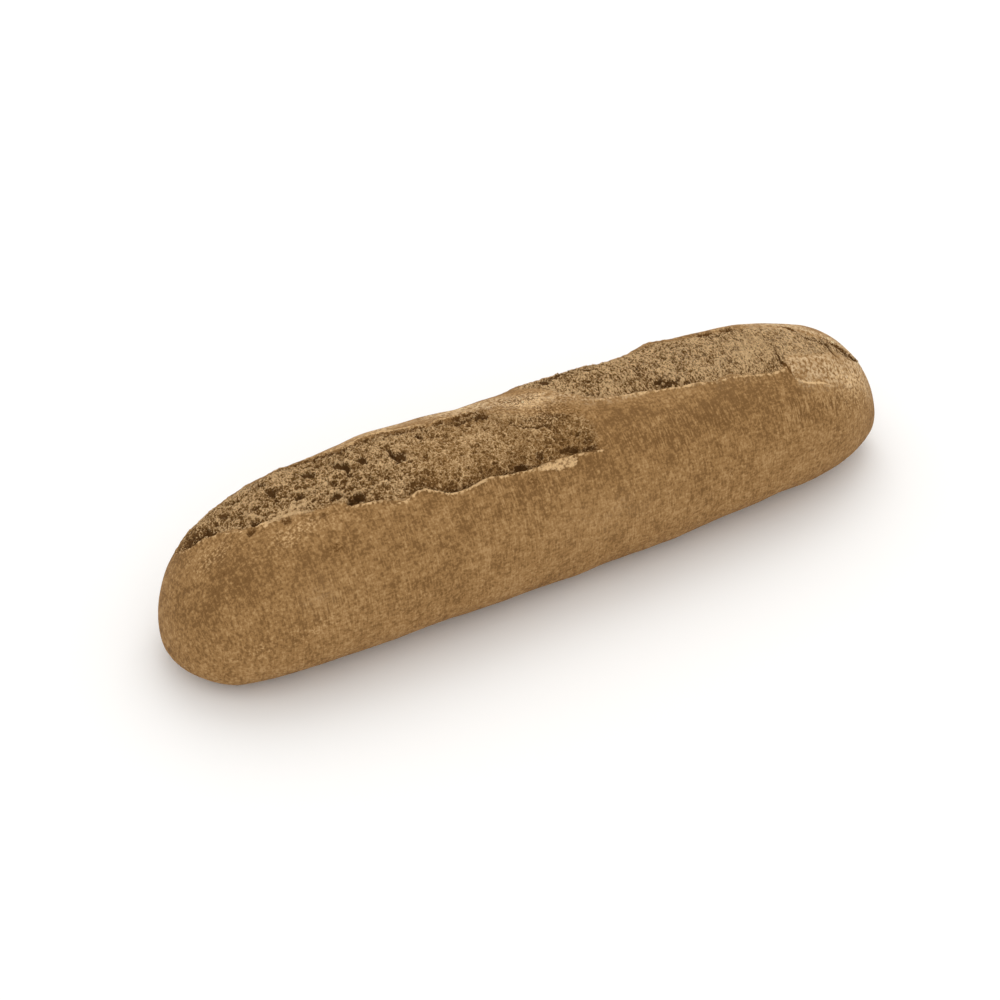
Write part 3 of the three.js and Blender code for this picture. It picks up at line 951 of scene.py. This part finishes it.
@piece_operator
class BAGUETTE_OT_loaf(bpy.types.Operator):
    """Add the scored loaf"""

    bl_idname = "baguette.loaf"
    bl_label = "Add loaf"

    def execute(self, context):
        settings = context.scene.baguette_loaf
        scores = [FIRST_SCORE, SECOND_SCORE]
        noise.seed_set(DRIFT_SEED)

        bm = bmesh.new()
        bmesh.ops.create_uvsphere(
            bm, u_segments=settings.around, v_segments=settings.along, radius=1
        )
        settle_order(bm)
        bm.edges.index_update()
        split_scored_faces(bm, scores)
        bm.normal_update()
        mesh = bpy.data.meshes.new("baguette_loaf")
        bm.to_mesh(mesh)
        bm.free()

        places = np.empty(len(mesh.vertices) * 3)
        mesh.vertices.foreach_get("co", places)
        surface = Surface(*loaf_coordinates(places.reshape(-1, 3)), settings)
        bake_crust(surface)
        for score in scores:
            open_score(surface, score)
        press_hollows(surface)
        lay_threads(surface)
        lay_patches(surface)
        dust_strap(surface)
        dust_right_end(surface)
        bare_flap(surface)

        points = crust_point(surface.station, surface.girth, surface.lift)
        low, high = (np.array(corner) * 1000 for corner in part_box("loaf"))
        have_low, have_high = points.min(axis=0), points.max(axis=0)
        points = low + (points - have_low) * (high - low) / (have_high - have_low)
        mesh.vertices.foreach_set("co", (points / 1000).astype(np.float32).ravel())
        for name, amount in surface.marks.items():
            layer = mesh.attributes.new(name, "FLOAT", "POINT")
            layer.data.foreach_set("value", np.clip(amount, 0, 1).astype(np.float32))
        mesh.shade_smooth()
        mesh.update()

        loaf = bpy.data.objects.new("baguette_loaf", mesh)
        context.scene.collection.objects.link(loaf)
        mesh.materials.append(bread_material(context.scene.baguette_colours))
        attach(loaf, "root")
        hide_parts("loaf")
        return {"FINISHED"}


@piece_operator
class BAGUETTE_OT_stage(bpy.types.Operator):
    """Add the floor, the lights and the camera"""

    bl_idname = "baguette.stage"
    bl_label = "Add stage"

    def execute(self, context):
        studio = context.scene.baguette_studio
        bm = bmesh.new()
        bmesh.ops.create_grid(bm, x_segments=2, y_segments=2, size=FLOOR_REACH)
        mesh = bpy.data.meshes.new("floor")
        bm.to_mesh(mesh)
        bm.free()
        floor = bpy.data.objects.new("floor", mesh)
        context.scene.collection.objects.link(floor)
        paint = Graph("floor_paint")
        shade = paint.spread(paint.cloud(3), 0.3, 0.7)
        duller = [c * 0.985 for c in studio.floor[:3]] + [1]
        paint.put(paint.shader.inputs["Base Color"], paint.blend(shade, duller, studio.floor))
        paint.shader.inputs["Roughness"].default_value = 0.9
        paint.shader.inputs["Specular IOR Level"].default_value = 0.1
        mesh.materials.append(paint.material)

        world = bpy.data.worlds.new("soft_fill")
        world.use_nodes = True
        sky = world.node_tree.nodes["Background"]
        sky.inputs["Color"].default_value = (1, 0.985, 0.96, 1)
        sky.inputs["Strength"].default_value = studio.sky
        context.scene.world = world

        for name, place, size, share in LIGHTS:
            self.add_light(context, name, place, size, studio.key * share)
        self.add_camera(context, studio)
        context.scene.view_settings.view_transform = "Standard"
        return {"FINISHED"}

    def add_light(self, context, name, place, size, power):
        lamp = bpy.data.lights.new(name, "AREA")
        lamp.size = size
        lamp.energy = power
        light = bpy.data.objects.new(name, lamp)
        light.location = place
        light.rotation_euler = (-Vector(place)).to_track_quat("-Z", "Y").to_euler()
        context.scene.collection.objects.link(light)

    def add_camera(self, context, studio):
        turn, rise = math.radians(CAMERA_TURN), math.radians(CAMERA_RISE)
        back = Vector((
            -math.sin(turn) * math.cos(rise), -math.cos(turn) * math.cos(rise), math.sin(rise)
        ))
        right = (-back).cross(Vector((0, 0, 1))).normalized()
        up = right.cross(-back)
        target = Vector(LOAF_MIDDLE) - right * AIM_LEFT - up * AIM_BELOW
        lens = bpy.data.cameras.new("camera")
        lens.lens = studio.lens * 1000
        camera = bpy.data.objects.new("camera", lens)
        pose = Matrix((right, up, back)).transposed().to_4x4()
        pose.translation = target + back * CAMERA_DISTANCE
        camera.matrix_world = pose
        context.scene.collection.objects.link(camera)
        context.scene.camera = camera


class BAGUETTE_PT_panel(bpy.types.Panel):
    """Lists the loaf's pieces and settings"""

    bl_label = "Baguette"
    bl_idname = "BAGUETTE_PT_panel"
    bl_space_type = "VIEW_3D"
    bl_region_type = "UI"
    bl_category = "Baguette"

    def draw(self, context):
        for name, group in GROUPS.items():
            box = self.layout.box()
            for setting in group.__annotations__:
                box.prop(getattr(context.scene, name), setting)
        for operator in OPERATORS:
            self.layout.operator(operator.bl_idname)


def register():
    for cls in (*GROUPS.values(), *OPERATORS, BAGUETTE_PT_panel):
        bpy.utils.register_class(cls)
    for name, group in GROUPS.items():
        setattr(bpy.types.Scene, name, bpy.props.PointerProperty(type=group))


def unregister():
    for name in GROUPS:
        delattr(bpy.types.Scene, name)
    for cls in reversed((*GROUPS.values(), *OPERATORS, BAGUETTE_PT_panel)):
        bpy.utils.unregister_class(cls)


def main():
    register()
    bpy.ops.baguette.loaf()
    bpy.ops.baguette.stage()


if __name__ == "__main__":
    main()
